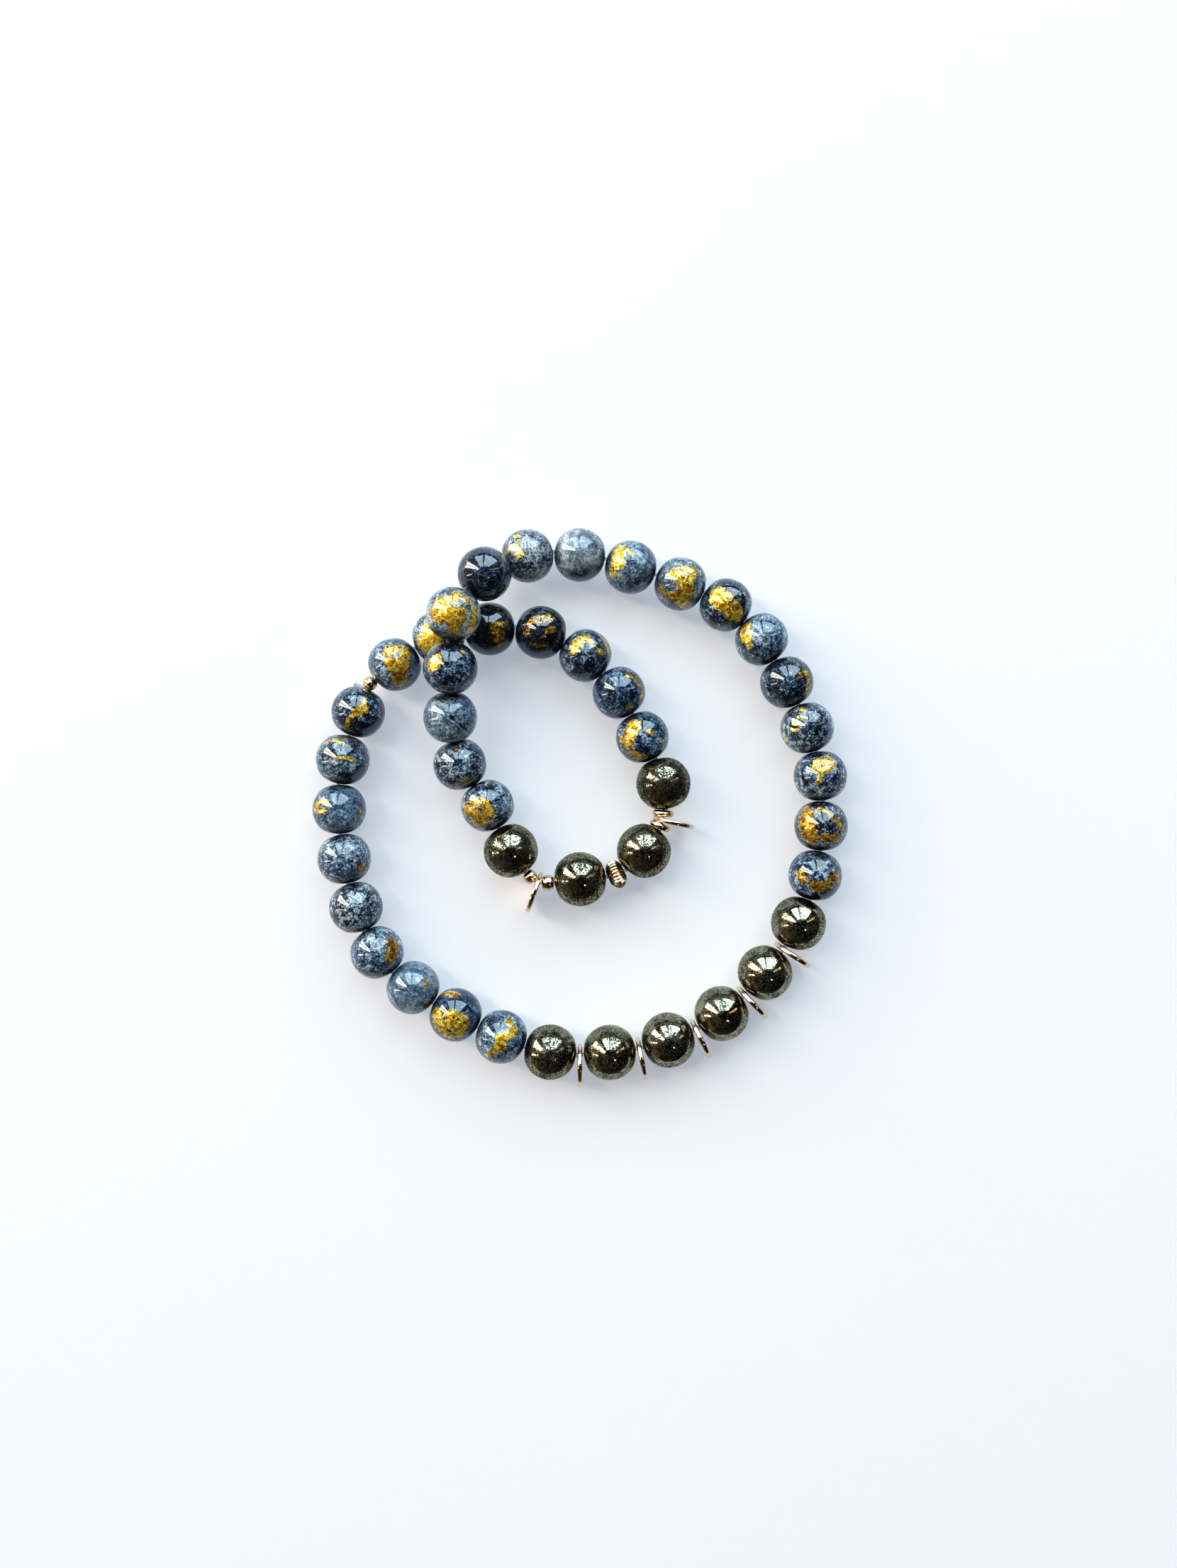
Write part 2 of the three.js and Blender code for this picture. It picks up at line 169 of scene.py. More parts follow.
# The stone beads, in stringing order.
STONE_BEADS = [
    bead(0.10, 0.30, 0.2, 0.7),
    bead(0.70, 0.55, 0.7, 0.7, 0.0, 1.5, leaf=(
        (-0.80, 0.20, -0.40, 0.35, 0.11), (-0.42, 0.74, -0.32, 0.70, 0.08),
        (-0.38, 0.08, -0.28, 0.08, 0.09))),
    bead(0.72, 0.18, 0.75, 0.15, shade=((-0.2, -0.8, 0.5, -0.7, 0.30),)),
    bead(0.54, 0.35, 0.35, 0.3, 0.2, leaf=(
        (-0.44, 0.62, -0.50, 0.20, 0.29), (-0.52, 0.20, -0.68, -0.22, 0.18),
        (-0.08, 0.66, 0.06, 0.46, 0.05))),
    bead(0.57, 0.30, 0.7, 0.25, 0.4, leaf=(
        (-0.20, 0.42, 0.42, 0.42, 0.24), (0.22, 0.25, 0.20, -0.30, 0.32),
        (-0.76, -0.12, -0.50, -0.42, 0.09), (-0.50, -0.42, 0.00, -0.38, 0.12),
        (-0.10, -0.55, 0.20, -0.80, 0.22)),
        torn=((-0.45, -0.02, -0.42, -0.05, 0.22),)),
    bead(0.30, 0.75, 0.2, 0.8, 0.35, leaf=(
        (-0.28, 0.35, -0.08, 0.15, 0.38), (0.22, -0.12, 0.34, -0.30, 0.32)),
        torn=((0.12, 0.02, 0.30, 0.20, 0.06),)),
    bead(0.56, 0.40, 0.3, 0.4, 0.3, leaf=(
        (-0.62, 0.45, -0.58, 0.10, 0.25), (-0.60, 0.05, -0.45, -0.22, 0.12)),
        shade=((0.0, -0.9, 0.6, -0.7, 0.45),)),
    bead(0.12, 0.45, 0.1, 0.8, 0.75, leaf=(
        (0.74, 0.30, 0.80, -0.40, 0.14), (0.68, 0.42, 0.48, 0.30, 0.05),
        (0.52, 0.80, 0.58, 0.76, 0.08)),
        shade=((0.2, -0.75, 0.6, -0.65, 0.35),)),
    bead(0.41, 0.70, 0.25, 0.7, -0.1, 0.8, leaf=(
        (-0.24, 0.72, -0.08, 0.64, 0.06), (-0.30, 0.42, -0.02, 0.36, 0.04),
        (-0.52, 0.16, -0.18, 0.12, 0.05), (-0.58, -0.04, -0.34, -0.08, 0.04),
        (-0.86, -0.30, -0.80, -0.42, 0.10))),
    bead(0.41, 0.65, 0.35, 0.6, 0.35, leaf=(
        (0.02, 0.42, 0.20, 0.40, 0.30), (0.20, 0.78, 0.55, 0.46, 0.06),
        (0.02, 0.15, -0.06, -0.20, 0.08), (0.70, -0.60, 0.78, -0.52, 0.07)),
        dark=((-0.62, -0.05, -0.50, -0.25, 0.09), (-0.30, -0.55, -0.22, -0.60, 0.06))),
    bead(0.15, 0.75, 0.4, 0.9, 0.6, 1.3, leaf=(
        (-0.60, 0.45, -0.42, -0.40, 0.34), (0.15, -0.42, 0.58, -0.50, 0.15),
        (-0.05, 0.62, 0.30, 0.50, 0.08), (0.40, 0.38, 0.66, 0.16, 0.07),
        (0.68, 0.02, 0.78, -0.12, 0.10)),
        torn=((-0.20, 0.10, -0.05, -0.05, 0.07), (-0.60, -0.05, -0.55, -0.10, 0.07))),
    bead(0.35, 0.60, 0.2, 0.6, 0.70, 1.3, leaf=(
        (-0.56, 0.02, -0.42, -0.18, 0.17), (-0.02, -0.42, 0.40, -0.38, 0.20),
        (0.50, -0.30, 0.74, -0.06, 0.16), (0.88, 0.10, 0.86, -0.20, 0.10)),
        shade=((-0.3, -0.85, 0.5, -0.80, 0.35),)),
    bead(0.50, 0.45, 0.3, 0.45, 0.3, leaf=(
        (0.26, 0.60, 0.48, 0.22, 0.12), (0.44, 0.12, 0.08, 0.02, 0.15),
        (0.02, -0.08, -0.08, -0.38, 0.22), (-0.20, -0.48, -0.48, -0.66, 0.11))),
    bead(0.30, 0.35, 0.0, 0.35, 0.35, leaf=(
        (-0.52, 0.76, 0.00, 0.76, 0.16), (-0.74, 0.00, -0.60, -0.45, 0.28),
        (-0.14, -0.20, 0.14, -0.36, 0.37), (-0.45, -0.70, 0.10, -0.76, 0.18)),
        torn=((-0.45, -0.16, -0.30, -0.10, 0.06),)),
    bead(0.60, 0.22, 0.5, 0.15, 0.6, leaf=(
        (0.44, 0.20, 0.50, 0.12, 0.08), (0.48, -0.62, 0.56, -0.68, 0.13),
        (-0.06, -0.88, 0.10, -0.90, 0.06), (0.70, 0.38, 0.74, 0.42, 0.05))),
    bead(0.52, 0.45, 0.25, 0.55, 0.75, leaf=(
        (0.56, 0.34, 0.62, 0.02, 0.24), (0.54, -0.08, 0.54, -0.22, 0.24))),
    bead(0.46, 0.85, 0.40, 1.0),
    bead(0.52, 0.45, 0.30, 0.6, 0.9, 1.3, leaf=((0.60, -0.30, 0.66, -0.50, 0.18),)),
    bead(0.50, 0.25, 0.3, 0.3, 0.4, leaf=(
        (-0.78, 0.24, -0.86, -0.06, 0.12), (-0.72, -0.02, -0.60, -0.10, 0.10),
        (-0.62, 0.26, -0.46, 0.24, 0.10), (-0.10, 0.92, 0.16, 0.92, 0.07),
        (0.70, -0.02, 0.72, -0.06, 0.06), (0.84, -0.28, 0.86, -0.32, 0.06)),
        dark=((-0.56, -0.14, -0.34, -0.72, 0.025),)),
    bead(0.49, 0.45, 0.30, 0.5, 0.25, 0.3, leaf=(
        (-0.42, -0.12, -0.26, 0.06, 0.02), (-0.26, 0.06, 0.04, 0.08, 0.035),
        (0.04, 0.08, 0.44, -0.08, 0.045), (-0.05, 0.90, 0.50, 0.78, 0.14),
        (-0.70, 0.60, -0.30, 0.72, 0.05), (-0.30, 0.72, 0.02, 0.58, 0.06)),
        shade=((0.1, -0.8, 0.6, -0.6, 0.35),)),
    bead(0.28, 0.75, 0.1, 0.8, 0.35, leaf=(
        (0.20, 0.42, 0.26, 0.14, 0.09), (0.20, 0.10, -0.08, 0.00, 0.15),
        (-0.14, -0.08, -0.34, -0.28, 0.08), (-0.36, -0.32, -0.42, -0.48, 0.06)),
        shade=((-0.15, -0.65, 0.45, -0.60, 0.40),)),
    bead(0.54, 0.35, 0.3, 0.35, 0.50, leaf=(
        (-0.15, 0.52, 0.38, 0.50, 0.27), (0.02, 0.10, 0.22, 0.00, 0.40),
        (0.18, -0.30, 0.20, -0.62, 0.30)),
        torn=((0.12, 0.36, 0.18, 0.30, 0.10),),
        shade=((0.85, 0.2, 0.8, -0.5, 0.16),)),
    bead(0.55, 0.55, 0.6, 0.9, 0.25, leaf=(
        (-0.30, 0.30, -0.20, 0.00, 0.36), (-0.55, -0.20, -0.10, -0.46, 0.34)),
        torn=((-0.62, 0.02, -0.58, -0.08, 0.05), (-0.28, 0.32, -0.24, 0.28, 0.05),
              (-0.40, -0.42, -0.36, -0.38, 0.05))),
    bead(0.02, 0.20, 1.0, 0.3, 0.95, leaf=(
        (0.14, 0.14, 0.50, 0.16, 0.12), (0.26, -0.02, 0.36, -0.30, 0.23),
        (0.36, -0.34, 0.38, -0.56, 0.08), (0.62, 0.30, 0.70, 0.50, 0.03))),
    bead(0.01, 0.30, 0.5, 0.4, 0.9, 1.8, leaf=(
        (-0.56, 0.04, -0.46, 0.34, 0.12), (-0.30, 0.44, 0.34, 0.56, 0.17),
        (0.10, -0.14, 0.18, 0.06, 0.035), (0.18, 0.06, 0.36, 0.13, 0.05),
        (0.36, 0.13, 0.54, 0.10, 0.06), (-0.30, -0.44, 0.20, -0.46, 0.06)),
        torn=((-0.44, 0.20, -0.38, 0.22, 0.05), (-0.05, 0.44, 0.00, 0.46, 0.06),
              (0.16, 0.62, 0.22, 0.64, 0.05))),
    bead(0.38, 0.45, 0.35, 0.5, 0.3, leaf=(
        (-0.42, 0.28, -0.12, 0.62, 0.22), (0.00, 0.72, 0.26, 0.42, 0.10),
        (0.50, 0.24, 0.62, 0.10, 0.08), (0.66, 0.64, 0.86, 0.14, 0.08),
        (0.86, 0.10, 0.90, -0.08, 0.05)),
        dark=((-0.32, -0.34, -0.16, -0.50, 0.05),)),
    bead(0.37, 0.45, -0.25, 0.6, 0.6, leaf=(
        (0.30, 0.62, 0.60, 0.56, 0.06), (0.62, 0.52, 0.80, 0.24, 0.11),
        (0.82, 0.16, 0.84, -0.14, 0.11), (0.42, -0.48, 0.46, -0.52, 0.09))),
    bead(0.32, 0.55, -0.1, 0.6, 0.35, leaf=(
        (-0.32, 0.44, -0.50, 0.02, 0.27), (-0.74, -0.10, -0.52, -0.32, 0.20),
        (-0.36, -0.60, 0.04, -0.78, 0.16), (0.26, 0.22, 0.36, 0.16, 0.08),
        (0.68, -0.08, 0.74, -0.14, 0.07)),
        torn=((-0.20, 0.00, -0.12, -0.04, 0.06), (-0.60, -0.50, -0.52, -0.52, 0.08))),
    bead(0.48, 0.70, 0.30, 0.7, 0.4, leaf=(
        (-0.76, -0.20, -0.22, -0.42, 0.26), (-0.10, 0.04, 0.14, -0.34, 0.17),
        (-0.50, -0.70, -0.14, -0.68, 0.13), (-0.20, 0.22, -0.05, 0.12, 0.10),
        (-0.60, 0.22, -0.40, 0.10, 0.12)),
        torn=((-0.22, -0.22, -0.18, -0.26, 0.06),)),
    bead(0.49, 0.60, 0.30, 0.8, 0.8, leaf=(
        (-0.18, 0.62, -0.12, 0.60, 0.05), (0.02, -0.76, 0.30, -0.60, 0.12),
        (0.34, -0.58, 0.46, -0.52, 0.07)),
        shade=((0.6, -0.4, 0.7, -0.55, 0.22),)),
    bead(0.60, 0.25, 0.35, 0.3, 0.8,
         dark=((0.03, 0.02, 0.06, -0.02, 0.085), (0.10, -0.08, 0.72, -0.58, 0.045),
               (-0.46, 0.74, -0.04, 0.16, 0.030))),
    bead(0.27, 0.75, 0.15, 0.7, 0.3, leaf=(
        (-0.72, 0.12, -0.46, 0.38, 0.15), (-0.70, -0.06, -0.46, 0.10, 0.12),
        (0.42, 0.62, 0.50, 0.56, 0.05)),
        dark=((-0.11, 0.76, -0.08, 0.72, 0.08),)),
    bead(0.66, 0.45, 0.5, 0.5, 0.36, leaf=(
        (-0.48, 0.40, -0.10, 0.50, 0.24), (-0.62, 0.02, 0.18, -0.04, 0.32),
        (-0.06, -0.34, 0.08, -0.56, 0.22), (0.76, 0.08, 0.68, -0.44, 0.24),
        (0.10, 0.74, 0.52, 0.50, 0.15)),
        torn=((-0.22, 0.40, -0.18, 0.36, 0.07), (0.50, 0.26, 0.60, 0.10, 0.08),
              (-0.45, -0.36, -0.38, -0.40, 0.08))),
]

# How thickly each pyrite bead is pitted, in stringing order.
PITTING = (0.45, 0.30, 0.25, 0.35, 0.35, 0.50, 0.85, 0.60, 0.50, 0.60)

# Scales of colour, from the darkest stop to the palest.
BLUE_STONE = [
    (0.00, (0.002, 0.004, 0.010)),
    (0.20, (0.009, 0.018, 0.042)),
    (0.42, (0.030, 0.070, 0.150)),
    (0.62, (0.085, 0.172, 0.295)),
    (0.80, (0.205, 0.335, 0.455)),
    (1.00, (0.540, 0.640, 0.710)),
]
GREY_STONE = [
    (0.00, (0.003, 0.004, 0.006)),
    (0.20, (0.014, 0.019, 0.028)),
    (0.45, (0.070, 0.096, 0.125)),
    (0.70, (0.210, 0.260, 0.300)),
    (1.00, (0.640, 0.670, 0.680)),
]
GOLD_LEAF = [
    (0.00, (0.030, 0.013, 0.003)),
    (0.25, (0.220, 0.076, 0.006)),
    (0.50, (0.565, 0.280, 0.011)),
    (0.75, (0.850, 0.615, 0.042)),
    (1.00, (0.960, 0.940, 0.370)),
]
PYRITE = [
    (0.34, (0.078, 0.068, 0.041)),
    (0.48, (0.188, 0.167, 0.106)),
    (0.60, (0.335, 0.304, 0.204)),
]
DIM_ROOM = [
    (0.42, (0.008, 0.007, 0.006)),
    (0.60, (0.040, 0.032, 0.018)),
    (0.80, (0.320, 0.235, 0.115)),
]

# Single colours.
STONE_DARK_FLECK = (0.010, 0.012, 0.020, 1)
STONE_PALE_FLECK = (0.42, 0.46, 0.50, 1)
STONE_INCLUSION = (0.006, 0.007, 0.010, 1)
# Painted shade for the ends of a stone bead's bore, where its neighbours touch it.
STONE_CONTACT_SHADE = (0.003, 0.004, 0.006, 1)
PYRITE_FLECK = (0.420, 0.385, 0.290, 1)
PYRITE_PIT = (0.008, 0.007, 0.005, 1)
# Painted shade for the ends of a pyrite bead's bore, where its neighbours touch it.
PYRITE_CONTACT_SHADE = (0.010, 0.009, 0.007, 1)
PYRITE_GLANCE = (0.95, 0.89, 0.70, 1)
COIN_GLANCE = (1.0, 0.94, 0.88, 1)
SMALL_GOLD_GLANCE = (0.50, 0.37, 0.26, 1)
WHITE_ROOM = (0.90, 0.92, 0.95, 1)

# The palest and the deepest colour of each finish that wavers between two.
ROSE_GOLD = ((0.980, 0.780, 0.560, 1), (0.820, 0.480, 0.240, 1))
YELLOW_GOLD = ((0.980, 0.840, 0.380, 1), (0.860, 0.560, 0.160, 1))
ELASTIC = ((0.66, 0.70, 0.74, 1), (0.42, 0.46, 0.50, 1))
TABLE_TOP = ((0.622, 0.562, 0.550, 1), (0.637, 0.576, 0.564, 1))

# The table's faint glow, and its colour and glow in mirror images.
TABLE_GLOW = (0.345, 0.385, 0.440, 1)
MIRRORED_TABLE_TOP = (0.52, 0.54, 0.58, 1)
MIRRORED_TABLE_GLOW = (0.22, 0.28, 0.36, 1)

STONE_ROUGHNESS = 0.38


# ---------------------------------------------------------------- where each piece lies


def middle_of(node):
    low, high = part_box(node)
    return (low + high) / 2


def outwards_from(bore):
    """The level direction that points away from the middle of the loop."""
    return UP.cross(bore).normalized()


def lay_out_string():
    """Where the elastic passes through each piece, and which way. A coin hangs beside the string,
    so its place is found from its centre and the way the string runs there, a few times over."""
    centres = {node: middle_of(node) for node in STRUNG}
    places = dict(centres)
    for _ in range(HANGING_ROUNDS):
        bores = {}
        for i, node in enumerate(STRUNG):
            before = places[STRUNG[i - 1]]
            after = places[STRUNG[(i + 1) % len(STRUNG)]]
            arriving = (places[node] - before).normalized()
            leaving = (after - places[node]).normalized()
            bores[node] = (arriving + leaving).normalized()
        for node in STRUNG:
            if node.startswith("coin_charm"):
                hang = UP * COIN["drop"] - outwards_from(bores[node]) * COIN_REACH
                places[node] = centres[node] + hang * MM
    return places, bores


def spare_room(places, lengths, node, other):
    """Half of the gap between two neighbours, in millimetres, which a big bead's end fills."""
    apart = (places[node] - places[other]).length / MM
    gap = apart - (lengths[node] + lengths[other]) / 2
    return min(max(gap / 2, 0), MOST_ROOM)


def frame_of(x_axis, z_axis, origin):
    """Lays a shape worked in millimetres, with its own Z along z_axis, at a place in metres."""
    y_axis = z_axis.cross(x_axis)
    turn = Matrix((x_axis, y_axis, z_axis)).transposed().to_4x4()
    return Matrix.Translation(origin) @ turn @ Matrix.Scale(MM, 4)


# ---------------------------------------------------------------- shapes, in millimetres


def bead_outline(across, length, face, steps):
    """Half of a bead's cross-section, as (radius, height) from one end of its bore to the other."""
    face_angle = math.acos(face / across)
    flattening = length / (across * math.sin(face_angle))
    outline = []
    for step in range(steps + 1):
        angle = face_angle * (2 * step / steps - 1)
        outline.append((math.cos(angle) * across / 2, math.sin(angle) * flattening * across / 2))
    if face > BORE:
        outline = [(BORE / 2, -length / 2), *outline, (BORE / 2, length / 2)]
    return outline


def ball_outline(across, back, front, steps):
    """Half of the cross-section of a ball whose two ends, which lie back and front of its middle,
    are domed more flatly than the rest."""
    radius = across / 2
    widest = math.acos(BORE / across)
    outline = []
    for step in range(steps + 1):
        turn = widest * (2 * step / steps - 1)
        out = radius * math.cos(turn)
        ball = radius * abs(math.sin(turn))
        end = front if turn > 0 else back
        dome = end - (out**2 - (BORE / 2) ** 2) / (2 * END_DOME)
        blend = max(0.0, END_BLEND - abs(ball - dome))
        height = min(ball, dome) - blend**2 / (4 * END_BLEND)
        outline.append((out, math.copysign(height, turn)))
    return outline


def turn_on_lathe(outline, around):
    """Spins an outline about Z into a closed shape with a bore."""
    shape = bmesh.new()
    points = [shape.verts.new((radius, 0, height)) for radius, height in outline]
    for start, end in zip(points, [*points[1:], points[0]]):
        shape.edges.new((start, end))
    bmesh.ops.spin(
        shape,
        geom=shape.verts[:] + shape.edges[:],
        cent=(0, 0, 0),
        axis=(0, 0, 1),
        angle=2 * math.pi,
        steps=around,
        use_merge=True,
    )
    bmesh.ops.recalc_face_normals(shape, faces=shape.faces)
    return shape


def round_the_edges(shape, width, sharper_than=35):
    """Bevels each edge that turns by more than that many degrees."""
    sharp = [e for e in shape.edges if math.degrees(e.calc_face_angle(0)) > sharper_than]
    bmesh.ops.bevel(
        shape,
        geom=sharp,
        offset=width,
        offset_type="OFFSET",
        segments=3,
        profile=0.5,
        affect="EDGES",
        material=-1,
        clamp_overlap=True,
    )


def small_bead(across, length, face):
    outline = bead_outline(across, length, face, SMALL_BEAD_STEPS)
    shape = turn_on_lathe(outline, SMALL_BEAD_SIDES)
    round_the_edges(shape, SMALL_BEAD_EDGE)
    return shape


def big_bead(across, back, front):
    outline = ball_outline(across, back, front, BIG_BEAD_STEPS)
    shape = turn_on_lathe(outline, BIG_BEAD_SIDES)
    round_the_edges(shape, BIG_BEAD_EDGE)
    return shape


def ribbed_saucer():
    """A flat round bead, pressed in between rounded ribs that run from face to face."""
    outline = bead_outline(**SIZES["saucer_bead"], steps=SAUCER_STEPS)
    shape = turn_on_lathe(outline, SAUCER_SIDES)
    for point in shape.verts:
        out = Vector((point.co.x, point.co.y))
        if out.length > BORE:
            turn = math.atan2(out.y, out.x)
            groove = (0.5 - 0.5 * math.cos(SAUCER_RIBS * turn)) ** 1.5
            nearer = out * (1 - SAUCER_RIB_DEPTH * groove / out.length)
            point.co.x, point.co.y = nearer
    return shape


def flat_coin():
    """A polished disc hung from a hole near its rim. The hole is at the origin, its centre lies
    along X and the string runs along Z."""
    shape = bmesh.new()
    bmesh.ops.create_circle(
        shape,
        segments=COIN_SIDES,
        radius=COIN["across"] / 2,
        matrix=Matrix.Translation((COIN["hole_to_centre"], 0, 0)),
    )
    bmesh.ops.create_circle(shape, segments=COIN_HOLE_SIDES, radius=BORE / 2)
    bmesh.ops.triangle_fill(shape, edges=shape.edges[:], use_beauty=True)
    grown = bmesh.ops.extrude_face_region(shape, geom=shape.faces[:])
    raised = [v for v in grown["geom"] if isinstance(v, bmesh.types.BMVert)]
    bmesh.ops.translate(shape, verts=raised, vec=(0, 0, COIN["length"]))
    bmesh.ops.translate(shape, verts=shape.verts[:], vec=(0, 0, -COIN["length"] / 2))
    bmesh.ops.recalc_face_normals(shape, faces=shape.faces)
    round_the_edges(shape, COIN_EDGE, sharper_than=60)
    return shape


def closed_tube(points):
    """A round tube that bends softly along a closed loop of points in metres."""
    line = bpy.data.curves.new("elastic_line", "CURVE")
    line.dimensions = "3D"
    line.resolution_u = 3
    line.bevel_depth = ELASTIC_ACROSS / 2 * MM
    line.bevel_resolution = 4
    spline = line.splines.new("NURBS")
    spline.points.add(len(points) - 1)
    for control, point in zip(spline.points, points):
        control.co = (*point, 1)
    spline.order_u = 3
    spline.use_cyclic_u = True
    carrier = bpy.data.objects.new("elastic_line", line)
    tube = bpy.data.meshes.new_from_object(carrier)
    bpy.data.objects.remove(carrier)
    bpy.data.curves.remove(line)

    shape = bmesh.new()
    shape.from_mesh(tube)
    bpy.data.meshes.remove(tube)
    bmesh.ops.transform(shape, matrix=Matrix.Scale(1 / MM, 4), verts=shape.verts[:])
    bmesh.ops.remove_doubles(shape, verts=shape.verts[:], dist=1e-4)
    return shape


def add_tail(shape, root, outwards):
    """One free end of the elastic, which leads outwards from its root and widens on the way."""
    lean = outwards.to_track_quat("Z", "Y").to_matrix().to_4x4()
    tail = bmesh.ops.create_cone(
        shape,
        cap_ends=True,
        segments=16,
        radius1=TAIL["root"] / 2,
        radius2=TAIL["end"] / 2,
        depth=TAIL["length"],
        matrix=Matrix.Translation(root + outwards * TAIL["length"] / 2) @ lean,
    )
    ends = {e for v in tail["verts"] for e in v.link_edges if e.calc_face_angle(0) > 1}
    bmesh.ops.bevel(
        shape,
        geom=list(ends),
        offset=TAIL_EDGE,
        segments=3,
        profile=0.5,
        affect="EDGES",
        material=-1,
    )


def elastic_loop(places, bores, lengths):
    """The elastic runs straight through every bore and bends softly in the gaps. Its tail stands
    in the gap before the first small round bead."""
    mouths = []
    for node in STRUNG:
        half = bores[node] * lengths[node] * MM / 2
        mouths += [places[node] - half, places[node] + half]
    shape = closed_tube(mouths)
    knotted = STRUNG[STRUNG.index("round_bead_01") - 1]
    root = (places[knotted] + bores[knotted] * lengths[knotted] * MM / 2) / MM
    add_tail(shape, root, outwards_from(bores[knotted]))
    bmesh.ops.recalc_face_normals(shape, faces=shape.faces)
    return shape


def hand_over(shape, lie, name, node, material):
    """Lays a finished shape in place, gives it its material and sets it in for its CAD node."""
    bmesh.ops.transform(shape, matrix=lie, verts=shape.verts[:])
    for face in shape.faces:
        face.smooth = len(face.verts) == 4
    for edge in shape.edges:
        edge.smooth = math.degrees(edge.calc_face_angle(0)) < SMOOTH_BELOW
    mesh = bpy.data.meshes.new(name)
    shape.to_mesh(mesh)
    shape.free()
    mesh.materials.append(material)
    piece = bpy.data.objects.new(name, mesh)
    bpy.context.scene.collection.objects.link(piece)
    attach(piece, "root")
    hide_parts(node)


# ---------------------------------------------------------------- shader helpers


def feed(tree, socket, value):
    """Links a socket to another node's output, or sets it to a plain value."""
    if isinstance(value, bpy.types.NodeSocket):
        tree.links.new(value, socket)
    else:
        socket.default_value = value


def plug(tree, node, sockets):
    for name, value in sockets.items():
        feed(tree, node.inputs[name], value)


def put(tree, kind, sockets=None, **settings):
    """Adds a node, sets it up, and feeds each of its named sockets."""
    node = tree.nodes.new(kind)
    for name, value in settings.items():
        setattr(node, name, value)
    plug(tree, node, sockets or {})
    return node


def calc(tree, operation, *values, clamp=False):
    node = put(tree, "ShaderNodeMath", dict(enumerate(values)), operation=operation)
    node.use_clamp = clamp
    return node.outputs[0]


def vector_calc(tree, operation, *values, result="Vector"):
    node = put(tree, "ShaderNodeVectorMath", dict(enumerate(values)), operation=operation)
    return node.outputs[result]


def blotches(tree, place, size, detail=3.0, roughness=0.55, distortion=0.0):
    """Soft noise from 0 to 1 whose blotches are about that many millimetres across."""
    node = put(
        tree,
        "ShaderNodeTexNoise",
        {
            "Vector": place,
            "Scale": 1 / size,
            "Detail": detail,
            "Roughness": roughness,
            "Distortion": distortion,
        },
    )
    return node.outputs["Fac"]


def swinging(tree, *settings):
    """The same noise, swinging about 0."""
    return calc(tree, "SUBTRACT", blotches(tree, *settings), 0.5)


def ramp_to(tree, value, start, end, low=0.0, high=1.0):
    """Rises smoothly from low to high as value goes from start to end."""
    node = put(
        tree,
        "ShaderNodeMapRange",
        {"Value": value, "From Min": start, "From Max": end, "To Min": low, "To Max": high},
        interpolation_type="SMOOTHSTEP",
    )
    return node.outputs["Result"]


def past(tree, value, threshold, softness):
    """Rises smoothly from 0 to 1 as value goes past a threshold."""
    return ramp_to(tree, calc(tree, "SUBTRACT", value, threshold), 0.0, softness)


def blend_colours(tree, share, first, second):
    node = put(tree, "ShaderNodeMix", data_type="RGBA")
    colours = [s for s in node.inputs if s.type == "RGBA"]
    for socket, value in ((node.inputs["Factor"], share), *zip(colours, (first, second))):
        feed(tree, socket, value)
    return next(s for s in node.outputs if s.type == "RGBA")


def cover_with(tree, colour, mask, strength, covering):
    """Covers a colour with another, as thickly as the mask says times a strength."""
    return blend_colours(tree, calc(tree, "MULTIPLY", mask, strength), colour, covering)


def colour_scale(tree, value, stops):
    node = put(tree, "ShaderNodeValToRGB", {"Fac": value})
    scale = node.color_ramp.elements
    while len(scale) < len(stops):
        scale.new(0.5)
    for element, (position, colour) in zip(scale, stops):
        element.position = position
        element.color = (*colour, 1)
    return node.outputs["Color"]


def new_group(name, inputs, outputs):
    group = bpy.data.node_groups.new(name, "ShaderNodeTree")
    for label, value in inputs.items():
        kind = "NodeSocketVector" if isinstance(value, tuple) else "NodeSocketFloat"
        socket = group.interface.new_socket(label, in_out="INPUT", socket_type=kind)
        socket.default_value = value
    for label, kind in outputs.items():
        group.interface.new_socket(label, in_out="OUTPUT", socket_type="NodeSocket" + kind)
    return group, group.nodes.new("NodeGroupInput").outputs


def finish_group(group, results):
    leaving = group.nodes.new("NodeGroupOutput")
    for label, value in results.items():
        group.links.new(value, leaving.inputs[label])
    return group


# ---------------------------------------------------------------- shared surface effects


def make_brush_stroke():
    """How far a point of a ball lies inside one brushed stroke, or inside the strokes before it."""
    group, given = new_group(
        "brush stroke",
        {
            "Facing": (0.0, 0.0, 1.0),
            "Start": (0.0, 0.0, 1.0),
            "End": (0.0, 1.0, 0.0),
            "Half Width": 0.1,
            "Before": -9.0,
        },
        {"Inside": "Float"},
    )
    along = vector_calc(group, "SUBTRACT", given["End"], given["Start"])
    from_start = vector_calc(group, "SUBTRACT", given["Facing"], given["Start"])
    reached = vector_calc(group, "DOT_PRODUCT", from_start, along, result="Value")
    whole = vector_calc(group, "DOT_PRODUCT", along, along, result="Value")
    share = calc(group, "DIVIDE", reached, whole, clamp=True)
    step = put(group, "ShaderNodeVectorMath", {0: along, "Scale": share}, operation="SCALE")
    nearest = vector_calc(group, "ADD", given["Start"], step.outputs["Vector"])
    nearest = vector_calc(group, "NORMALIZE", nearest)
    away = vector_calc(group, "DISTANCE", given["Facing"], nearest, result="Value")
    inside = calc(group, "SUBTRACT", given["Half Width"], away)
    return finish_group(group, {"Inside": calc(group, "MAXIMUM", inside, given["Before"])})


